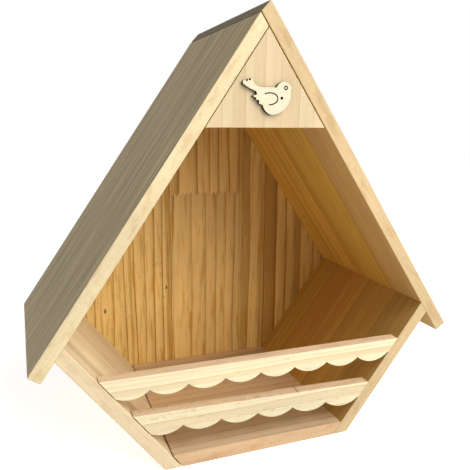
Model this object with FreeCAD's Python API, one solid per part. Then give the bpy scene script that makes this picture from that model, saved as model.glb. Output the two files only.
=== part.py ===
import FreeCAD, Part
import math
import os

# Kite-shaped wooden bird feeder house with an open front and two scalloped rails.
# Millimetres. +Z is up, the open front faces -Y, and the origin is on the surface that the house
# stands on, in the middle of its length and width.
# Outlines are drawn as (x, z) points, seen from the front, and run back along Y.

# Driving dimensions: the shell
board = 12.0                    # thickness of every pine board
depth = 200.0                   # front to back of the roof, side and floor boards
ridge_height = 400.0            # top of the ridge above the underside
roof_peak = 401.6               # height at which the outer faces of the roof boards would meet
ridge_half_angle = 34.25        # degrees from the vertical to each roof board
roof_slope_right = 363.5        # outer face of a roof board, from that peak to the eave
roof_slope_left = 361.0
eave_skew_left = 3.3            # the left board's eave is sawn out of square, short at the front
base_width = 184.7              # across the side boards at the underside
side_slope = 52.9               # degrees from the horizontal to each side board
gable_bottom = 298.8            # lower edge of the gable board
back_inset = 3.0                # the back panel's edge stands in from the outside of the shell
arris = 0.6                     # rounding sanded along the edges of the boards
ridge_gap = 0.8                 # saw clearance where the left roof board stops under the right one
gable_gap_right = 0.9           # and between the gable and each roof board
gable_gap_left = 0.5
end_gap = 0.8                   # saw clearance at the left end of the floor and of each rail

# Driving dimensions: the scalloped rails
rail_thickness = 12.0
scallop_depth = 6.5             # from a cusp down to the bottom of a lobe
rail_upper = {
    "top": 92.6,                # height of the top edge at mid-length
    "height": 20.0,             # top edge to the bottom of a lobe
    "lobes": 8,
    "pitch": 34.3,              # cusp to cusp
    "centre": -1.8,             # x of the pattern's middle
    "tilt": 0.25,               # degrees, left end up
}
rail_lower = {
    "top": 53.5,
    "height": 21.0,
    "lobes": 6,
    "pitch": 35.8,
    "centre": -3.8,
    "tilt": 1.75,               # this rail is nailed slightly out of level
}

# Driving dimensions: the plywood bird
bird_thickness = 3.0
bird_hole = (11.0, 323.1)       # centre of the threading hole
bird_hole_radius = 1.2
bird_eye = (14.6, 331.4)
bird_eye_radius = 1.35          # to the middle of the engraved ring
bird_tail_notches = ((-20.4, 336.8), (-17.9, 337.5))
bird_notch_radius = 1.0
engraving_width = 0.9
engraving_depth = 0.4

# Driving dimensions: brads, all alike
brad_length = 30.0
brad_radius = 0.8
brad_head_radius = 1.2
brad_head_height = 1.0
brad_point = 3.0                # length of the tapered point
brad_sink = 1.0                 # the head lies this far under the wood, which is filled over it
brad_rows = (25.0, 100.0, 175.0)  # distances back from the front, along a board 200 deep

# Driving dimensions: the keyhole hanger let into the back panel
hanger_height = 330.0           # centre of the plate above the underside
hanger_length = 44.0
hanger_width = 16.0
hanger_thickness = 1.5
pocket_depth = 7.5              # room for the hook's head, from the panel's back face
pocket_radius = 6.0             # wider than the keyhole, so that the head slides up behind the plate
keyhole_radius = 4.5
keyhole_slot_radius = 2.25
keyhole_slot_rise = 9.0         # from the keyhole's centre up to the centre of the slot's end
keyhole_drop = 5.0              # the keyhole's centre is this far below the plate's centre
hanger_screw_spacing = 34.0
screw_radius = 1.25
screw_head_radius = 2.75
screw_head_height = 1.4
screw_length = 9.5
screw_point = 2.0               # length of the tapered point

# Places worked out from them
back_thickness = board
front = -(depth + back_thickness - bird_thickness) / 2
shell_back = front + depth
back = shell_back + back_thickness

half_angle = math.radians(ridge_half_angle)
slope = math.radians(side_slope)
apex = (0.0, roof_peak)
inner_apex = (0.0, roof_peak - board / math.sin(half_angle))
down_roof = (math.sin(half_angle), -math.cos(half_angle))       # ridge to eave, right-hand board
into_roof = (-math.cos(half_angle), -math.sin(half_angle))      # through it, from outside
down_side = (-math.cos(slope), -math.sin(slope))                # eave to floor, right-hand board
into_side = (-math.sin(slope), math.cos(slope))                 # through it, from outside
side_foot = (base_width / 2, 0.0)


def along(point, direction, distance):
    """The point at a distance from another, in the XZ plane."""
    return (point[0] + direction[0] * distance, point[1] + direction[1] * distance)


def meet(point_a, direction_a, point_b, direction_b):
    """The point where two lines of the XZ plane cross."""
    cross = direction_a[0] * direction_b[1] - direction_a[1] * direction_b[0]
    gap_x = point_b[0] - point_a[0]
    gap_z = point_b[1] - point_a[1]
    return along(point_a, direction_a, (gap_x * direction_b[1] - gap_z * direction_b[0]) / cross)


def flip(point):
    """The mirror image of a point or direction, left for right."""
    return (-point[0], point[1])


def at(point, y):
    return FreeCAD.Vector(point[0], y, point[1])


def outline(points, y=0.0):
    return Part.makePolygon([at(p, y) for p in points + points[:1]])


def run_back(wire, length):
    """A solid of the outline's shape that runs back along Y from it."""
    return Part.Face(wire).extrude(FreeCAD.Vector(0, length, 0))


def prism(points, y, length):
    return run_back(outline(points, y), length)


def sanded(solid):
    """A board with all its edges rounded a little."""
    return solid.makeFillet(arris, solid.Edges)


def drilled(solid, *groups):
    """A board without the holes that the fasteners of these groups fill."""
    for group in groups:
        solid = solid.cut(group)
    return solid


# Shell: the right roof board overlaps the top end of the left one
def roof_right():
    """The board whose top end is cut from the ridge down to the left board's outer face."""
    ridge = meet((0.0, ridge_height), (1.0, 0.0), apex, down_roof)
    heel = meet(apex, flip(down_roof), inner_apex, down_roof)
    eave = along(apex, down_roof, roof_slope_right)
    return sanded(prism([ridge, eave, along(eave, into_roof, board), heel], front, depth))


def roof_left():
    """The board that stops under the right one at the ridge."""
    under_right = along(inner_apex, into_roof, ridge_gap)
    top = meet(apex, flip(down_roof), under_right, down_roof)
    inside_top = meet(inner_apex, flip(down_roof), under_right, down_roof)
    eave = along(apex, flip(down_roof), roof_slope_left)
    eave_inside = along(eave, flip(into_roof), board)
    blank = prism([top, inside_top, eave_inside, eave], front, depth)
    short = along(eave, flip(down_roof), -eave_skew_left)
    corners = [at(eave, front), at(short, front), at(eave, shell_back), at(eave, front)]
    waste = Part.Face(Part.makePolygon(corners)).extrude(at(flip(into_roof), 0.0) * board)
    return sanded(blank.cut(waste))


def gable():
    right_edge = along(inner_apex, into_roof, gable_gap_right)
    left_edge = along(inner_apex, flip(into_roof), gable_gap_left)
    peak = meet(right_edge, down_roof, left_edge, flip(down_roof))
    corner_right = meet(right_edge, down_roof, (0.0, gable_bottom), (1.0, 0.0))
    corner_left = meet(left_edge, flip(down_roof), (0.0, gable_bottom), (1.0, 0.0))
    return sanded(prism([peak, corner_right, corner_left], front, board))


def side_right():
    inside_foot = meet(along(side_foot, into_side, board), down_side, (0.0, 0.0), (1.0, 0.0))
    top = meet(side_foot, down_side, inner_apex, down_roof)
    inside_top = meet(inside_foot, down_side, inner_apex, down_roof)
    return sanded(prism([side_foot, top, inside_top, inside_foot], front, depth))


def side_left():
    return side_right().mirror(FreeCAD.Vector(0, 0, 0), FreeCAD.Vector(1, 0, 0))


def between_sides(low, high):
    """The outline of what fits between the side boards, short at its left end by the saw clearance."""
    inside_foot = along(side_foot, into_side, board)
    corners = [meet(inside_foot, down_side, (0.0, z), (1.0, 0.0)) for z in (low, high)]
    lefts = [flip((x - end_gap / math.sin(slope), z)) for x, z in corners]
    return [corners[0], corners[1], lefts[1], lefts[0]]


def floor():
    return sanded(prism(between_sides(0.0, board), front, depth))


def back_panel():
    """A five-sided panel behind the shell, with a recess for the hanger and a pocket under it."""
    corner = meet(side_foot, down_side, apex, down_roof)
    outside = outline([apex, corner, side_foot, flip(side_foot), flip(corner)], shell_back)
    join_by_corners = 2
    panel = sanded(run_back(outside.makeOffset2D(-back_inset, join_by_corners), back_thickness))
    recess = hanger_blank(back - hanger_thickness, hanger_thickness)
    return panel.cut(recess).cut(keyhole_slot(pocket_radius, back - pocket_depth, pocket_depth))


# Rails: each is a strip with convex lobes along its lower edge, cut to fit between the sides
def rail(top, height, lobes, pitch, centre, tilt):
    cusp = scallop_depth - height
    reach = base_width
    last = lobes * pitch / 2
    ends = [(-last, cusp), (-reach, cusp), (-reach, 0.0), (reach, 0.0), (reach, cusp), (last, cusp)]
    edges = [Part.makeLine(at(a, front), at(b, front)) for a, b in zip(ends, ends[1:])]
    for lobe in range(lobes):
        right = last - lobe * pitch
        bottom = (right - pitch / 2, -height)
        arc = Part.Arc(at((right, cusp), front), at(bottom, front), at((right - pitch, cusp), front))
        edges.append(arc.toShape())
    strip = run_back(Part.Wire(edges), rail_thickness)
    strip.rotate(at((0.0, 0.0), 0.0), FreeCAD.Vector(0, 1, 0), tilt)
    strip.translate(at((centre, top), 0.0))
    space = prism(between_sides(0.0, top + height), front, rail_thickness)
    return sanded_top(strip.common(space).Solids[0])


def sanded_top(solid):
    """A rail with the long edges of its top rounded; the scallops stay crisp."""
    length = solid.BoundBox.XLength / 2
    long_edges = [e for e in solid.Edges if e.Length > length]
    return solid.makeFillet(arris, long_edges)


# Bird: a silhouette cut from thin plywood, glued to the gable
def bird():
    beak = (20.4, 331.5)
    chin = (18.9, 329.6)
    breast = (15.9, 316.5)
    belly = (2.6, 309.4)
    rump = (-6.1, 317.1)
    nape = (6.1, 331.5)
    forehead = (17.6, 334.5)
    feathers = [rump, (-9.8, 318.7), (-9.2, 321.0), (-12.5, 321.6), (-11.7, 322.8), (-15.3, 324.4)]
    feathers.append((-11.3, 325.6))
    under_tail = (-12.1, 328.1)
    tail_low = (-23.2, 333.4)
    tail_lobes = [(-21.9, 336.7), (-16.9, 338.2)]
    tail_high = (-15.2, 336.8)
    back_start = (-8.0, 331.5)
    edges = [
        curve(nape, (11.6, 336.1), forehead),
        straight(forehead, beak),
        straight(beak, chin),
        curve(chin, (18.9, 322.8), breast),
        curve(breast, (10.0, 311.6), belly),
        curve(belly, (-3.0, 311.9), rump),
        straight(feathers[-1], under_tail),
        curve(under_tail, (-17.6, 330.3), tail_low),
        curve(tail_low, (-23.8, 335.4), tail_lobes[0]),
        straight(*tail_lobes),
        curve(tail_lobes[1], (-15.7, 337.9), tail_high),
        curve(tail_high, (-12.2, 333.2), back_start),
        straight(back_start, nape),
    ]
    edges += [straight(a, b) for a, b in zip(feathers, feathers[1:])]
    silhouette = Part.Wire(Part.sortEdges(edges)[0])
    body = run_back(silhouette, bird_thickness)
    face = front - bird_thickness
    notches = [peg(centre, bird_notch_radius, face, bird_thickness) for centre in bird_tail_notches]
    hole = peg(bird_hole, bird_hole_radius, face, bird_thickness)
    return body.cut(notches + [hole, wing_line(), eye_ring()])


def straight(start, end):
    return Part.makeLine(at(start, front - bird_thickness), at(end, front - bird_thickness))


def curve(start, middle, end):
    """An arc of the bird's silhouette through three points."""
    points = [at(p, front - bird_thickness) for p in (start, middle, end)]
    return Part.Arc(*points).toShape()


def wing_line():
    """The engraved line round the front of the wing."""
    middle = Part.Wire([
        curve((-4.1, 326.3), (0.7, 327.1), (5.2, 325.9)),
        curve((5.2, 325.9), (7.3, 322.9), (5.8, 319.5)),
        curve((5.8, 319.5), (3.0, 318.1), (-0.2, 317.6)),
    ])
    return run_back(middle.makeOffset2D(engraving_width / 2), engraving_depth)


def eye_ring():
    outer = peg(bird_eye, bird_eye_radius + engraving_width / 2, front - bird_thickness, engraving_depth)
    inner = peg(bird_eye, bird_eye_radius - engraving_width / 2, front - bird_thickness, engraving_depth)
    return outer.cut(inner)


def peg(centre, radius, y, length):
    """A round bar that runs back along Y."""
    return Part.makeCylinder(radius, length, at(centre, y), FreeCAD.Vector(0, 1, 0))


# Fasteners
def brad(surface, y, direction, along_y=0.0):
    """A brad driven from a point of a board's face; its head is sunk under the wood."""
    axis = FreeCAD.Vector(direction[0], along_y, direction[1])
    start = at(surface, y) + axis * brad_sink
    neck = start + axis * brad_head_height
    shank_length = brad_length - brad_head_height - brad_point
    head = Part.makeCylinder(brad_head_radius, brad_head_height, start, axis)
    shank = Part.makeCylinder(brad_radius, shank_length, neck, axis)
    point = Part.makeCone(brad_radius, brad_radius / 4, brad_point, neck + axis * shank_length, axis)
    return head.fuse([shank, point]).removeSplitter()


def mirrored(solids):
    return [s.mirror(FreeCAD.Vector(0, 0, 0), FreeCAD.Vector(1, 0, 0)) for s in solids]


def ridge_brads():
    """Through the right roof board, along the middle of the left one."""
    down_left = flip(down_roof)
    middle = along(apex, flip(into_roof), board / 2)
    surface = meet(middle, down_left, apex, down_roof)
    return [brad(surface, front + row, down_left) for row in brad_rows]


def gable_brads_right():
    """Through the right roof board, square to it, into the edge of the gable."""
    from_ridge = board / math.tan(half_angle)
    heights = (40.0, 80.0)
    surfaces = [along(apex, down_roof, from_ridge + height) for height in heights]
    return [brad(s, front + board / 2, into_roof) for s in surfaces]


def eave_brads_right():
    """Through the right roof board, down the middle of the side board."""
    middle = along(side_foot, into_side, board / 2)
    surface = meet(middle, down_side, apex, down_roof)
    return [brad(surface, front + row, down_side) for row in brad_rows]


def side_surface(z):
    """The point of the right side board's outer face at a height."""
    return meet(side_foot, down_side, (0.0, z), (1.0, 0.0))


def floor_brads_right():
    """Through the right side board into the end of the floor."""
    return [brad(side_surface(board / 2), front + row, (-1.0, 0.0)) for row in brad_rows]


def rail_brads(top, tilt):
    """One through each side board into an end of a rail."""
    below_top = 8.0
    rise = math.tan(math.radians(tilt)) * side_surface(top)[0]
    y = front + rail_thickness / 2
    right = brad(side_surface(top - rise - below_top), y, (-1.0, 0.0))
    left = brad(flip(side_surface(top + rise - below_top)), y, (1.0, 0.0))
    return [left, right]


def panel_brads():
    """Through the back panel into the back edges of the roof, side and floor boards."""
    roof_middle = along(apex, into_roof, board / 2)
    side_middle = along(side_foot, into_side, board / 2)
    roof_places = (45.0, 125.0, 205.0, 285.0)
    side_places = (-45.0, -105.0)
    rights = [along(roof_middle, down_roof, place) for place in roof_places]
    rights += [along(side_middle, down_side, place) for place in side_places]
    rights.append((base_width / 4, board / 2))
    straight_in = (0.0, 0.0)
    solids = [brad(point, back, straight_in, along_y=-1.0) for point in rights]
    return solids + mirrored(solids)


# Hanger: a keyhole plate let in flush with the back panel's back face
def stadium(low, high, radius, y, length):
    """A slot or bar with round ends, upright in the XZ plane, that runs back along Y."""
    ends = [peg((0.0, z), radius, y, length) for z in (low, high)]
    middle = Part.makeBox(2 * radius, length, high - low, FreeCAD.Vector(-radius, y, low))
    return middle.fuse(ends).removeSplitter()


def hanger_blank(y, length):
    straight_half = (hanger_length - hanger_width) / 2
    return stadium(hanger_height - straight_half, hanger_height + straight_half, hanger_width / 2, y, length)


def keyhole_slot(radius, y, length):
    """A slot of a radius from the keyhole's entry up to the end of the slot above it."""
    entry = hanger_height - keyhole_drop
    return stadium(entry, entry + keyhole_slot_rise, radius, y, length)


def hanger_screws():
    """Countersunk screws, one near each end of the plate."""
    inward = FreeCAD.Vector(0, -1, 0)
    shank_length = screw_length - screw_head_height - screw_point
    solids = []
    for side in (-1, 1):
        start = at((0.0, hanger_height + side * hanger_screw_spacing / 2), back)
        neck = start + inward * screw_head_height
        head = Part.makeCone(screw_head_radius, screw_radius, screw_head_height, start, inward)
        shank = Part.makeCylinder(screw_radius, shank_length, neck, inward)
        point_start = neck + inward * shank_length
        point = Part.makeCone(screw_radius, screw_radius / 4, screw_point, point_start, inward)
        solids.append(head.fuse([shank, point]).removeSplitter())
    return solids


def hanger_plate():
    outside = back - hanger_thickness
    blank = hanger_blank(outside, hanger_thickness)
    entry = peg((0.0, hanger_height - keyhole_drop), keyhole_radius, outside, hanger_thickness)
    return blank.cut(entry).cut(keyhole_slot(keyhole_slot_radius, outside, hanger_thickness))


fasteners = {
    "ridge_brads": ridge_brads(),
    "gable_brads_left": mirrored(gable_brads_right()),
    "gable_brads_right": gable_brads_right(),
    "eave_brads_left": mirrored(eave_brads_right()),
    "eave_brads_right": eave_brads_right(),
    "floor_brads_left": mirrored(floor_brads_right()),
    "floor_brads_right": floor_brads_right(),
    "rail_upper_brads": rail_brads(rail_upper["top"], rail_upper["tilt"]),
    "rail_lower_brads": rail_brads(rail_lower["top"], rail_lower["tilt"]),
    "panel_brads": panel_brads(),
    "hanger_screws": hanger_screws(),
}
in_roof_left = fasteners["ridge_brads"] + fasteners["gable_brads_left"] + fasteners["eave_brads_left"]
in_roof_right = fasteners["ridge_brads"] + fasteners["gable_brads_right"] + fasteners["eave_brads_right"]
in_gable = fasteners["gable_brads_left"] + fasteners["gable_brads_right"]
in_floor = fasteners["floor_brads_left"] + fasteners["floor_brads_right"]
in_rails = fasteners["rail_upper_brads"] + fasteners["rail_lower_brads"]
in_side_left = fasteners["eave_brads_left"] + fasteners["floor_brads_left"]
in_side_right = fasteners["eave_brads_right"] + fasteners["floor_brads_right"]
behind = fasteners["panel_brads"]

nodes = {
    "roof_left": drilled(roof_left(), in_roof_left + behind),
    "roof_right": drilled(roof_right(), in_roof_right + behind),
    "gable": drilled(gable(), in_gable),
    "back_panel": drilled(back_panel(), behind + fasteners["hanger_screws"]),
    "side_left": drilled(side_left(), in_side_left + in_rails + behind),
    "side_right": drilled(side_right(), in_side_right + in_rails + behind),
    "floor": drilled(floor(), in_floor + behind),
    "rail_upper": drilled(rail(**rail_upper), fasteners["rail_upper_brads"]),
    "rail_lower": drilled(rail(**rail_lower), fasteners["rail_lower_brads"]),
    "bird_ornament": bird(),
    "hanger_plate": drilled(hanger_plate(), fasteners["hanger_screws"]),
}
for name, solids in fasteners.items():
    nodes[name] = Part.makeCompound(solids)

os.makedirs("parts", exist_ok=True)
for name, shape in nodes.items():
    shape.exportStep(f"parts/{name}.step")
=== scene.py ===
import math
from types import SimpleNamespace

import bpy
from mathutils import Matrix, Vector


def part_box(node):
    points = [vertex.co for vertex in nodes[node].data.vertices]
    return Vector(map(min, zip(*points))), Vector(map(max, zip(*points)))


# Looks for a kite-shaped pine bird feeder house. Every board keeps its CAD shape; the materials grow a
# solid wood pattern in each board's own directions, in millimetres: u along the grain, v across it in
# the board's face, w through the thickness.

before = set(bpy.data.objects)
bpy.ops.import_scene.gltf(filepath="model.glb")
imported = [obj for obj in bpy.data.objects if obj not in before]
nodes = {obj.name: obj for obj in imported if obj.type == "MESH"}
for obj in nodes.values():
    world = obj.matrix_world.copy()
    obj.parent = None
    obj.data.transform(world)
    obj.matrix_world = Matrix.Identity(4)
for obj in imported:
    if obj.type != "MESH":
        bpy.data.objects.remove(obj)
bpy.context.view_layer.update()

X = Vector((1, 0, 0))
Y = Vector((0, 1, 0))
Z = Vector((0, 0, 1))
MM = 1000.0                     # millimetres in a metre

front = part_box("gable")[0].y    # plane of the boards' front faces


# Camera

def add_camera():
    """A camera to the left of the house, level with the gable's lower edge, looking down a little."""
    turn, dip, roll = (math.radians(a) for a in (20.73, 11.70, 0.45))
    ahead = Vector((math.sin(turn) * math.cos(dip), math.cos(turn) * math.cos(dip), -math.sin(dip)))
    level = Vector((math.cos(turn), -math.sin(turn), 0))
    lift = level.cross(ahead)
    right = level * math.cos(roll) + lift * math.sin(roll)
    up = lift * math.cos(roll) - level * math.sin(roll)
    data = bpy.data.cameras.new("camera")
    data.sensor_width = 36.0
    data.lens = 42.41
    data.clip_start = 0.01
    camera = bpy.data.objects.new("camera", data)
    place = Vector((-0.1918, front - 0.4316, 0.3048))
    camera.matrix_world = Matrix.Translation(place) @ Matrix((right, up, -ahead)).transposed().to_4x4()
    bpy.context.scene.collection.objects.link(camera)
    bpy.context.scene.camera = camera


# Node trees

class Graph:
    """One material's node tree. Each method adds a node and returns its output socket."""

    def __init__(self, name):
        self.material = bpy.data.materials.new(name)
        self.material.use_nodes = True
        self.tree = self.material.node_tree
        self.tree.nodes.clear()

    def add(self, kind, inputs=(), **settings):
        node = self.tree.nodes.new(kind)
        for key, value in settings.items():
            setattr(node, key, value)
        for key, value in dict(inputs).items():
            self.put(node.inputs[key], value)
        return node

    def put(self, socket, value):
        if isinstance(value, bpy.types.NodeSocket):
            self.tree.links.new(value, socket)
        else:
            socket.default_value = value

    def math(self, operation, *values):
        return self.add("ShaderNodeMath", enumerate(values), operation=operation).outputs[0]

    def plus(self, a, b):
        return self.math("ADD", a, b)

    def minus(self, a, b):
        return self.math("SUBTRACT", a, b)

    def times(self, a, b):
        return self.math("MULTIPLY", a, b)

    def over(self, a, b):
        return self.math("DIVIDE", a, b)

    def spread(self, fraction, low, high):
        """low to high as the fraction goes from 0 to 1."""
        return self.math("MULTIPLY_ADD", fraction, high - low, low)

    def limits(self, value, low, high, to_low=0.0, to_high=1.0):
        """A value's place between two limits, as a smooth step."""
        inputs = {"Value": value, "From Min": low, "From Max": high, "To Min": to_low, "To Max": to_high}
        return self.add("ShaderNodeMapRange", inputs, interpolation_type="SMOOTHSTEP").outputs[0]

    def point(self, x, y, z):
        return self.add("ShaderNodeCombineXYZ", {"X": x, "Y": y, "Z": z}).outputs[0]

    def noise(self, place, cells, shift=0.0, detail=2.0, roughness=0.5):
        """Noise in cells of the given sizes, so that it is drawn out along the grain."""
        u, v, w = (self.over(axis, size) for axis, size in zip(place, cells))
        vector = self.point(self.plus(u, shift), v, w)
        inputs = {"Vector": vector, "Scale": 1.0, "Detail": detail, "Roughness": roughness}
        return self.add("ShaderNodeTexNoise", inputs).outputs["Fac"]

    def chance(self, x, y, z):
        """Three random numbers that are the same all over one cell."""
        cell = {"Vector": self.point(x, y, z)}
        noise = self.add("ShaderNodeTexWhiteNoise", cell, noise_dimensions="3D")
        return self.add("ShaderNodeSeparateColor", {"Color": noise.outputs["Color"]}).outputs[:3]

    def mix(self, fraction, a, b, blend="MIX"):
        node = self.add("ShaderNodeMix", data_type="RGBA", blend_type=blend, clamp_factor=True)
        for socket, value in zip((node.inputs[0], node.inputs[6], node.inputs[7]), (fraction, a, b)):
            self.put(socket, value)
        return node.outputs[2]

    def shaded(self, color, shade):
        """A colour made lighter or darker by a factor."""
        return self.mix(1.0, color, self.point(shade, shade, shade), "MULTIPLY")

    def curve(self, fraction, stops):
        """A grey value that runs through (place, value) stops."""
        node = self.add("ShaderNodeValToRGB", {"Fac": fraction})
        elements = node.color_ramp.elements
        while len(elements) < len(stops):
            elements.new(0.5)
        for element, (place, value) in zip(elements, stops):
            element.position = place
            element.color = (value, value, value, 1.0)
        return node.outputs["Color"]

    def dot(self, vector, direction):
        """How far a vector goes in a direction."""
        inputs = {0: vector, 1: tuple(direction)}
        return self.add("ShaderNodeVectorMath", inputs, operation="DOT_PRODUCT").outputs["Value"]

    def facing(self, direction, low=0.35, high=0.75):
        """How far a surface faces a direction."""
        normal = self.add("ShaderNodeNewGeometry").outputs["Normal"]
        return self.limits(self.dot(normal, direction), low, high)

    def place(self, axes, origin):
        """A point's millimetres along each of a board's axes."""
        here = self.add("ShaderNodeTexCoord").outputs["Object"]
        inputs = {0: here, 1: tuple(origin)}
        offset = self.add("ShaderNodeVectorMath", inputs, operation="SUBTRACT").outputs[0]
        return [self.dot(offset, axis * MM) for axis in axes]

    def finish(self, color, roughness, height, depth_mm, metallic=0.0, specular=0.35):
        shader = self.add("ShaderNodeBsdfPrincipled", {"Base Color": color, "Roughness": roughness})
        shader.inputs["Metallic"].default_value = metallic
        shader.inputs["Specular IOR Level"].default_value = specular
        bump = self.add("ShaderNodeBump", {"Height": height, "Distance": depth_mm / MM, "Strength": 1.0})
        self.put(shader.inputs["Normal"], bump.outputs["Normal"])
        out = self.add("ShaderNodeOutputMaterial")
        self.put(out.inputs["Surface"], shader.outputs["BSDF"])
        return self.material


# Wood

def rgb(red, green, blue):
    return (red, green, blue, 1.0)


# Spring wood and summer wood of each tone of pine. The deeper, more orange tones used inside the box are
# partly painted shade and bounced light; the pale tone of the lit left side is partly painted light
CREAM = (rgb(0.79, 0.67, 0.44), rgb(0.60, 0.43, 0.21))
PEACH = (rgb(0.65, 0.50, 0.30), rgb(0.50, 0.34, 0.17))
ROSE = (rgb(0.73, 0.52, 0.32), rgb(0.60, 0.36, 0.18))
HONEY = (rgb(0.78, 0.60, 0.39), rgb(0.50, 0.30, 0.14))
AMBER = (rgb(0.88, 0.65, 0.28), rgb(0.42, 0.22, 0.02))
GOLD = (rgb(0.86, 0.61, 0.17), rgb(0.44, 0.23, 0.01))
RUSSET = (rgb(0.68, 0.46, 0.13), rgb(0.42, 0.22, 0.03))
IVORY = (rgb(0.84, 0.74, 0.52), rgb(0.66, 0.50, 0.28))
SAND = (rgb(0.74, 0.60, 0.43), rgb(0.50, 0.32, 0.17))
WHEAT = (rgb(0.73, 0.61, 0.41), rgb(0.56, 0.41, 0.22))
BLOND = (rgb(0.88, 0.76, 0.55), rgb(0.64, 0.47, 0.27))
BISCUIT = (rgb(0.80, 0.66, 0.45), rgb(0.66, 0.49, 0.29))
BLUSH = (rgb(0.84, 0.69, 0.50), rgb(0.68, 0.46, 0.28))

# Colours laid over a tone
PINK = rgb(0.78, 0.48, 0.22)
RESIN = rgb(0.64, 0.35, 0.05)
FLECK = rgb(0.30, 0.14, 0.045)
DULL = rgb(0.66, 0.49, 0.33)
UMBER = rgb(0.46, 0.33, 0.18)
RUST = rgb(0.60, 0.27, 0.11)
GLUE = rgb(0.30, 0.15, 0.05)
KNOT = rgb(0.12, 0.045, 0.015)
# greys a roof board's outer face: partly weathering, partly painted shade
SILVER = rgb(0.50, 0.44, 0.29)

# Colours of the rest
# end grain's colour, kept dark partly as painted shade
END_GRAIN_AND_SHADE = (rgb(0.24, 0.20, 0.135), rgb(0.39, 0.33, 0.22))
BIRCH = rgb(0.76, 0.71, 0.54)
SCORCHED = rgb(0.016, 0.009, 0.005)
SCORCHED_PLY = rgb(0.055, 0.030, 0.015)

# Cells of each noise, in millimetres along the grain, across it and through the thickness
SWAY = (210.0, 34.0, 34.0)      # how the rings wander slowly
RIPPLE = (60.0, 5.0, 5.0)       # and quickly
STAINS = (52.0, 4.5, 4.5)       # resin that shows in patches
WEAR = (50.0, 1.3, 1.3)         # breaks up dark bands and coloured strips
SAW_MARKS = (0.8, 30.0, 9.0)    # across a sawn edge
CLOUDS = (26.0, 26.0, 9.0)      # and over it
PATCHES = (150.0, 22.0, 22.0)   # broad light and dark places
FIBRES = (46.0, 0.75, 0.75)
DASHES = (7.0, 0.42, 0.42)      # short dark flecks
CROWDS = (40.0, 7.0, 7.0)       # where there are many of them
STREAKS = (110.0, 2.2, 2.2)     # on a roof board's outer face
WASHES = (420.0, 14.0, 14.0)    # the same, broader
PORES = (30.0, 3.5, 0.9)        # in end grain

# How dark the wood is from the start of a ring, 0, to its end, 1
SUMMER_WOOD = ((0.0, 0.0), (0.45, 0.04), (0.76, 0.18), (0.88, 0.50), (0.95, 0.74), (1.0, 0.0))
EDGE_LINE = ((0.88, 0.0), (0.93, 1.0), (0.97, 1.0), (1.0, 0.0))

NOWHERE = 5000.0                # further along than any board goes
LEAN = 0.018                    # most that the pith strays for each millimetre along the grain
THINNING = 1.5                  # power by which rings get narrower further from the pith
APART = 60.0                    # cells from one piece's noise to another's, at most
SECOND_DRAW = 40.0              # added to a seed to draw three more numbers
SEAM_DRAW = 3.0                 # tells the draw for a seam's darkness from the others
SOFT = 1.0                      # half the width over which a coloured strip fades
KNOT_LENGTH = 2.2               # of a knot along the grain, over its width


def look(seed, **changes):
    """How a board's wood is cut and glued up; sizes are in millimetres."""
    standard = dict(
        tone=AMBER,             # spring wood and summer wood
        edge=CREAM,             # tone of the sawn edge, or None where there is none to see
        edge_way=-Y,            # the way that this edge faces
        stave=76.0,             # width of a glued-up strip
        shift=20.0,             # moves the strips across the board
        joint=NOWHERE,          # place of the finger joint in the strip at the origin
        stagger=0.0,            # and how much further along it is in each strip away from there
        tooth=2.4,              # half the pitch of the finger joint's teeth
        split=NOWHERE,          # place of a butt joint that shows on the sawn edge only
        ring=11.0,              # spacing of the growth rings
        turned=0.4,             # chance that a strip has its rings the other way round
        pith=65.0,              # distance of the tree's middle from a strip's middle, across the face
        sunk=16.0,              # and behind the face
        wander=2.2,             # how far the rings wander along the grain
        bands=(),               # (v, width, darkness) of each dark band
        contrast=0.85,          # how strongly the rings show
        rosy=0.25,              # how pink some of the pieces are
        resin=0.0,              # how strongly the resin shows in patches
        flecks=0.5,             # how dark the flecks are
        strips=(),              # (least v, greatest v, colour, amount) of each strip of another colour
        knots=(),               # (u, v, size)
    )
    standard.update(changes)
    return SimpleNamespace(seed=seed, **standard)


def with_knots(g, u, v, wood):
    """v bent round each knot, as the grain is, and how dark the knots make a point."""
    dark = 0.0
    for knot_u, knot_v, size in wood.knots:
        off_u = g.over(g.minus(u, knot_u), size * KNOT_LENGTH)
        off_v = g.over(g.minus(v, knot_v), size)
        far = g.math("SQRT", g.plus(g.times(off_u, off_u), g.times(off_v, off_v)))
        bend = g.times(g.math("SIGN", off_v), g.limits(far, 3.2, 0.3, 0.0, -size * 0.8))
        v = g.plus(v, bend)
        dark = g.math("MAXIMUM", g.limits(far, 1.05, 0.35, 0.0, 0.85), dark)
    return v, dark


def glued_up(g, u, v, wood):
    """The strip and the piece of it that a point is in, and the random numbers of that piece."""
    stave_place = g.over(g.plus(v, wood.shift), wood.stave)
    stave = g.math("FLOOR", stave_place)
    teeth = g.times(g.math("PINGPONG", v, wood.tooth), 2.0)
    start = g.plus(g.times(g.math("ABSOLUTE", stave), wood.stagger), wood.joint)
    past_joint = g.plus(g.minus(u, start), teeth)
    piece = g.math("GREATER_THAN", past_joint, 0.0)
    first = g.chance(stave, piece, wood.seed)
    second = g.chance(stave, piece, wood.seed + SECOND_DRAW)
    return SimpleNamespace(
        stave=stave,
        within=g.times(g.minus(g.math("FRACT", stave_place), 0.5), wood.stave),
        past_joint=past_joint,
        piece=piece,
        chances=(*first, *second),
        shift=g.times(second[1], APART),
    )


def glue_lines(g, part, wood):
    """How much glue shows along a strip's edges, and at the joint between its pieces."""
    darkness = g.spread(g.chance(part.stave, wood.seed, SEAM_DRAW)[0], 0.25, 0.7)
    from_seam = g.minus(wood.stave / 2, g.math("ABSOLUTE", part.within))
    seam = g.times(g.limits(from_seam, 0.55, 0.1), darkness)
    joint = g.times(g.limits(g.math("ABSOLUTE", part.past_joint), 0.7, 0.2), 0.3)
    return seam, joint


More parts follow.
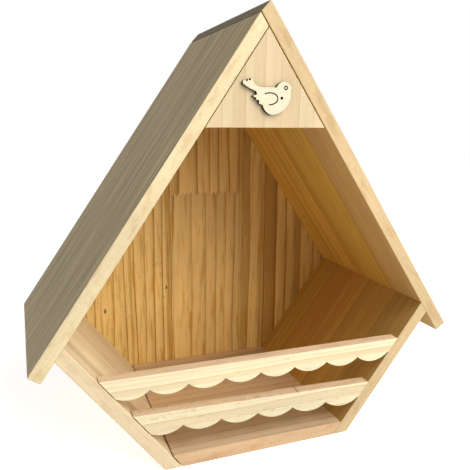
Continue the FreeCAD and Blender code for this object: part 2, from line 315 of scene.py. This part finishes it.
def growth(g, place, v, part, worn, wood):
    """How much summer wood shows, and how much resin.

    The growth rings are cylinders round a pith that lies off to one side and leans along the grain.
    """
    u, _, w = place
    way, aside, lean, sunk, _, size = part.chances
    grows = g.math("SIGN", g.minus(way, wood.turned))
    pith_v = g.times(grows, g.spread(aside, wood.pith * 0.7, wood.pith * 1.4))
    across = g.plus(g.plus(part.within, pith_v), g.times(u, g.spread(lean, -LEAN, LEAN)))
    behind = g.plus(w, g.spread(sunk, wood.sunk * 0.4, wood.sunk * 1.6))
    radius = g.math("SQRT", g.plus(g.times(across, across), g.times(behind, behind)))
    slow = g.minus(g.noise(place, SWAY, part.shift, detail=1.5), 0.5)
    quick = g.minus(g.noise(place, RIPPLE, part.shift), 0.5)
    wander = g.plus(g.times(slow, wood.wander * 4.0), g.times(quick, wood.wander * 0.5))
    age = g.math("POWER", g.over(g.plus(radius, wander), wood.pith), THINNING)
    ring_size = g.spread(size, wood.ring * 0.8, wood.ring * 1.2)
    ring_place = g.over(g.times(age, wood.pith / THINNING), ring_size)
    ring = g.math("FLOOR", ring_place)
    through = g.math("FRACT", ring_place)

    seed = g.plus(part.piece, wood.seed)
    ring_chance, line_chance, dark_chance = g.chance(ring, part.stave, seed)
    summer = g.times(g.curve(through, SUMMER_WOOD), g.spread(ring_chance, 0.5, 1.2))
    edge_line = g.times(g.curve(through, EDGE_LINE), g.spread(line_chance, 0.05, 0.65))
    stains = g.limits(g.noise(place, STAINS, part.shift), 0.50, 0.68)
    resin = g.times(stains, g.spread(through, 0.15, 0.80))
    whole_ring = g.times(g.limits(dark_chance, 0.86, 0.90), 0.62)
    late = g.plus(g.plus(summer, edge_line), g.math("MAXIMUM", g.times(resin, 0.4), whole_ring))
    late = g.times(late, g.times(g.spread(lean, 0.65, 1.1), wood.contrast))
    for middle, width, darkness in wood.bands:
        off = g.math("ABSOLUTE", g.minus(g.plus(v, g.times(wander, 0.5)), middle))
        band = g.limits(off, width * 0.65, width * 0.25, 0.0, darkness)
        late = g.math("MAXIMUM", late, g.times(band, g.spread(worn, 0.45, 1.15)))
    return late, resin


def sawn_edge(g, place, late, shift, wood):
    """Colour of a board's long sawn edge, which is paler and more even than its face."""
    light, dark = wood.edge
    color = g.mix(g.times(late, 0.35), light, dark)
    saw_marks = g.noise(place, SAW_MARKS)
    color = g.mix(g.limits(saw_marks, 0.45, 0.62, 0.0, 0.2), color, dark)
    clouds = g.noise(place, CLOUDS, shift)
    color = g.mix(g.limits(clouds, 0.5, 0.68, 0.0, 0.4), color, dark)
    off_split = g.math("ABSOLUTE", g.minus(place[0], wood.split))
    return g.mix(g.limits(off_split, 0.7, 0.3, 0.0, 0.8), color, GLUE)


def pine(g, place, wood):
    """Colour and surface height of edge-glued, finger-jointed pine."""
    u, v, _ = place
    v, knot_dark = with_knots(g, u, v, wood)
    part = glued_up(g, u, v, wood)
    _, fleckiness, _, redness, brightness, _ = part.chances
    worn = g.limits(g.noise(place, WEAR, part.shift, detail=3.0), 0.3, 0.7)
    late, resin = growth(g, place, v, part, worn, wood)

    color = g.mix(late, *wood.tone)
    color = g.mix(g.times(resin, wood.resin), color, RESIN)
    color = g.mix(g.times(g.limits(redness, 0.55, 0.95), wood.rosy), color, PINK)
    for low, high, tint, amount in wood.strips:
        past_low = g.limits(v, low - SOFT, low + SOFT)
        inside = g.times(past_low, g.limits(v, high + SOFT, high - SOFT, 0.0, amount))
        color = g.mix(g.times(inside, g.spread(worn, 0.7, 1.1)), color, tint)
    if wood.edge:
        sawn = sawn_edge(g, place, late, part.shift, wood)
        color = g.mix(g.facing(wood.edge_way), color, sawn)

    patches = g.noise(place, PATCHES, part.shift)
    fibres = g.noise(place, FIBRES, detail=3.0, roughness=0.6)
    shade = g.times(g.spread(patches, 0.86, 1.14), g.spread(fibres, 0.86, 1.14))
    color = g.shaded(color, g.times(shade, g.spread(brightness, 0.94, 1.06)))
    dashes = g.noise(place, DASHES, detail=1.0)
    crowds = g.noise(place, CROWDS, part.shift, detail=1.0)
    flecks = g.times(g.limits(dashes, 0.60, 0.72), g.limits(crowds, 0.46, 0.66))
    flecks = g.times(flecks, g.spread(fleckiness, wood.flecks * 0.3, wood.flecks))
    color = g.mix(flecks, color, FLECK)
    seam, joint = glue_lines(g, part, wood)
    color = g.mix(g.math("MAXIMUM", seam, joint), color, GLUE)
    color = g.mix(knot_dark, color, KNOT)

    height = g.plus(g.times(late, 0.35), g.times(fibres, 0.5))
    height = g.minus(height, g.plus(g.times(flecks, 0.8), g.times(seam, 1.2)))
    return color, height


def board_axes(node):
    """Directions of a sloping board: down its slope, along Y, and out of its widest face."""
    areas = {}
    for polygon in nodes[node].data.polygons:
        key = tuple(round(c, 2) for c in polygon.normal)
        areas[key] = areas.get(key, 0.0) + polygon.area
    wide = max((key for key in areas if abs(key[1]) < 0.5), key=areas.get)
    out = Vector(wide).normalized()
    if out.z < 0 and node.startswith("roof") or out.z > 0 and node.startswith("side"):
        out = -out
    return out.cross(Y).normalized(), Y, out


def wooden(name, axes, origin, wood):
    g = Graph(name)
    color, height = pine(g, g.place(axes, origin), wood)
    return g.finish(color, g.spread(height, 0.62, 0.42), height, 0.12)


def greyed_and_shaded_roof(name, axes, origin, wood):
    """Pine greyed and darkened on its outer face: partly weathering, partly painted shade."""
    g = Graph(name)
    place = g.place(axes, origin)
    color, height = pine(g, place, wood)
    down, _, out = axes
    streaks = g.noise(place, STREAKS, detail=4.0, roughness=0.6)
    streaks = g.spread(g.limits(streaks, 0.32, 0.68), 0.76, 1.30)
    washes = g.spread(g.noise(place, WASHES), 0.86, 1.22)
    # painted shade in part: the outer face is mixed towards SILVER and darkened, standing partly for
    # weathering and partly for shade
    grey_and_shade = g.shaded(g.mix(0.65, color, SILVER), g.times(streaks, washes))
    color = g.mix(g.facing(out, 0.45, 0.8), color, grey_and_shade)
    # painted shade: within a few millimetres of the ridge, except on the front, both boards take the
    # dark end grain colour, for the shade in the gap under the overlap
    ridge_gap_shade = g.limits(g.math("ABSOLUTE", place[0]), 6.0, 4.0)
    ridge_gap_shade = g.times(ridge_gap_shade, g.minus(1.0, g.facing(-Y)))
    # the end faces take the dark end grain colour: partly the end grain's own darkness, partly painted
    # shade
    end_grain_and_shade = g.math("MAXIMUM", g.facing(down, 0.45, 0.8), g.facing(-down, 0.45, 0.8))
    end_grain_and_shade = g.math("MAXIMUM", end_grain_and_shade, ridge_gap_shade)
    pores = g.noise(place, PORES, detail=3.0)
    color = g.mix(end_grain_and_shade, color, g.mix(g.limits(pores, 0.35, 0.65), *END_GRAIN_AND_SHADE))
    return g.finish(color, g.spread(height, 0.72, 0.52), height, 0.14)


def plywood_bird():
    """Pale birch, scorched dark wherever the laser has cut into it."""
    g = Graph("birch_ply")
    origin = Vector((0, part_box("bird_ornament")[0].y, 0))
    place = g.place((X, Z, Y), origin)
    behind_face = place[2]
    grain = g.noise(place, (30.0, 1.6, 1.6), detail=3.0)
    cloud = g.noise(place, (14.0, 6.0, 6.0))
    birch = g.shaded(BIRCH, g.times(g.spread(grain, 0.94, 1.05), g.spread(cloud, 0.95, 1.05)))
    soot = g.noise(place, (0.8, 0.8, 0.8))
    burnt = g.shaded(SCORCHED, g.spread(soot, 0.5, 1.6))
    plies = g.math("PINGPONG", behind_face, 0.5)
    burnt = g.mix(g.limits(plies, 0.3, 0.5, 0.0, 0.35), burnt, SCORCHED_PLY)
    color = g.mix(g.limits(behind_face, 0.12, 0.3), birch, burnt)
    return g.finish(color, g.spread(grain, 0.6, 0.75), grain, 0.05, specular=0.08)


def steel(name, color, drawn, rough):
    """Bright or zinc-plated steel, with marks in cells of the drawn sizes."""
    g = Graph(name)
    place = g.place((X, Z, Y), Vector((0, 0, 0)))
    marks = g.noise(place, drawn, detail=3.0)
    cloud = g.noise(place, (3.0, 3.0, 3.0))
    tinted = g.shaded(color, g.times(g.spread(marks, 0.85, 1.12), g.spread(cloud, 0.85, 1.1)))
    roughness = g.spread(cloud, rough - 0.1, rough + 0.12)
    return g.finish(tinted, roughness, marks, 0.01, metallic=1.0, specular=0.5)


def dress(node, material):
    data = nodes[node].data
    data.materials.clear()
    data.materials.append(material)


def dress_boards():
    ridge = Vector((0, front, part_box("roof_right")[1].z))
    foot = Vector((0, front, 0))
    back = Vector((0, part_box("back_panel")[0].y, 0))
    # All the boards are one pine: the deeper tones of the back panel (AMBER), right roof (GOLD) and
    # right side (RUSSET) are partly painted shade and bounced light, and the pale BLOND of the left
    # side, which the window lights, is partly painted light
    dress("roof_left", greyed_and_shaded_roof("roof_left_wood", board_axes("roof_left"), ridge, look(
        seed=11.0, stave=68.0, shift=12.0, tone=HONEY, contrast=0.45)))
    dress("roof_right", greyed_and_shaded_roof("roof_right_wood", board_axes("roof_right"), ridge, look(
        seed=23.0, tone=GOLD, edge=PEACH, stave=66.0, ring=8.0, contrast=0.45,
        strips=((-9.0, 46.0, DULL, 0.5),))))
    dress("back_panel", wooden("back_panel_wood", (Z, X, Y), back, look(
        seed=5.0, edge=None, stave=86.0, shift=33.0, joint=221.0, stagger=400.0, turned=0.0, ring=13.0,
        contrast=1.15, rosy=0.15, resin=0.95, flecks=0.9,
        bands=((-38.0, 7.0, 0.7), (60.0, 12.0, 0.65), (82.0, 5.0, 0.6), (-84.0, 4.0, 0.5)),
        knots=((106.0, -41.0, 1.5), (84.0, -115.0, 1.8)))))
    dress("gable", wooden("gable_wood", (Z, X, -Y), ridge, look(
        seed=31.0, tone=WHEAT, edge=None, stave=200.0, shift=100.0, ring=9.0, contrast=0.36, rosy=0.1,
        flecks=0.2)))
    dress("side_left", wooden("side_left_wood", board_axes("side_left"), foot, look(
        seed=41.0, stave=60.0, tone=BLOND, edge=BISCUIT, ring=6.0, contrast=0.6, rosy=0.1)))
    dress("side_right", wooden("side_right_wood", board_axes("side_right"), foot, look(
        seed=53.0, stave=60.0, tone=RUSSET, edge=PEACH, contrast=0.6,
        strips=((-9.0, 40.0, UMBER, 0.45), (100.0, 160.0, RUST, 0.35)))))
    dress("floor", wooden("floor_wood", (X, Y, Z), foot, look(
        seed=61.0, stave=70.0, tone=SAND, edge=ROSE, contrast=0.7)))
    for seed, node, split in ((71.0, "rail_upper", NOWHERE), (83.0, "rail_lower", 37.5)):
        dress(node, wooden(node + "_wood", (X, Z, Y), foot, look(
            seed=seed, tone=IVORY, edge=BLUSH, edge_way=Z, stave=400.0, shift=100.0, split=split,
            ring=3.5, contrast=0.65, rosy=0.1, flecks=1.0)))


def dress_small_parts():
    dress("bird_ornament", plywood_bird())
    dress("hanger_plate", steel("zinc_plate", rgb(0.66, 0.67, 0.68), (0.3, 14.0, 14.0), 0.38))
    dress("hanger_screws", steel("zinc_screws", rgb(0.66, 0.62, 0.50), (0.4, 0.4, 6.0), 0.34))
    wire = steel("bright_wire", rgb(0.55, 0.55, 0.55), (4.0, 0.2, 0.2), 0.3)
    for node in nodes:
        if "brads" in node:
            dress(node, wire)


# Stage

ROOM = 0.42                     # light from the walls and ceiling of the room
SWEEP = 0.72                    # and from the white sweep under the house
HORIZON = 0.3                   # how far above and below eye level one fades into the other
WHITE = rgb(1.0, 1.0, 1.0)
GLOW = 0.62                     # the ground's own light, which keeps it white
GROUND = 8.0                    # its width in metres


def add_floor():
    g = Graph("floor_paint")
    place = g.place((X, Y, Z), Vector((0, 0, 0)))
    grain = g.noise(place, (30.0, 30.0, 30.0))
    material = g.finish(rgb(0.85, 0.85, 0.85), 0.85, grain, 0.02, specular=0.1)
    shader = next(n for n in g.tree.nodes if n.type == "BSDF_PRINCIPLED")
    shader.inputs["Emission Color"].default_value = WHITE
    shader.inputs["Emission Strength"].default_value = GLOW
    bpy.ops.mesh.primitive_plane_add(size=GROUND, location=(0, 0, 0))
    ground = bpy.context.object
    ground.name = "ground"
    ground.data.materials.append(material)
    ground.visible_diffuse = False


def add_light(name, place, aim, size, power):
    data = bpy.data.lights.new(name, "AREA")
    data.shape = "RECTANGLE"
    data.size, data.size_y = size
    data.energy = power
    light = bpy.data.objects.new(name, data)
    light.location = place
    light.rotation_euler = (Vector(aim) - Vector(place)).to_track_quat("-Z", "Y").to_euler()
    bpy.context.scene.collection.objects.link(light)


def light_scene():
    """A big soft window to the front right, in a white room."""
    world = bpy.data.worlds.new("studio")
    world.use_nodes = True
    tree = world.node_tree
    seen = tree.nodes.new("ShaderNodeLightPath").outputs["Is Camera Ray"]
    toward = tree.nodes.new("ShaderNodeTexCoord").outputs["Generated"]
    height = tree.nodes.new("ShaderNodeSeparateXYZ")
    room = tree.nodes.new("ShaderNodeMapRange")
    room.inputs["From Min"].default_value = -HORIZON
    room.inputs["From Max"].default_value = HORIZON
    room.inputs["To Min"].default_value = SWEEP
    room.inputs["To Max"].default_value = ROOM
    strength = tree.nodes.new("ShaderNodeMapRange")
    strength.inputs["To Max"].default_value = 1.0
    background = tree.nodes["Background"]
    background.inputs["Color"].default_value = WHITE
    tree.links.new(toward, height.inputs["Vector"])
    tree.links.new(height.outputs["Z"], room.inputs["Value"])
    tree.links.new(room.outputs["Result"], strength.inputs["To Min"])
    tree.links.new(seen, strength.inputs["Value"])
    tree.links.new(strength.outputs["Result"], background.inputs["Strength"])
    bpy.context.scene.world = world
    add_light("window", (0.93, front - 1.66, 0.99), (0, 0, 0.2), (1.3, 1.6), 32.0)
    add_light("skylight", (0.64, front - 0.80, 1.66), (0, front, 0.1), (0.9, 0.9), 13.0)


def develop():
    """Shows the picture as a camera does: neutral, with a little contrast."""
    view = bpy.context.scene.view_settings
    view.view_transform = "Standard"
    view.gamma = 0.8


add_camera()
dress_boards()
dress_small_parts()
add_floor()
light_scene()
develop()
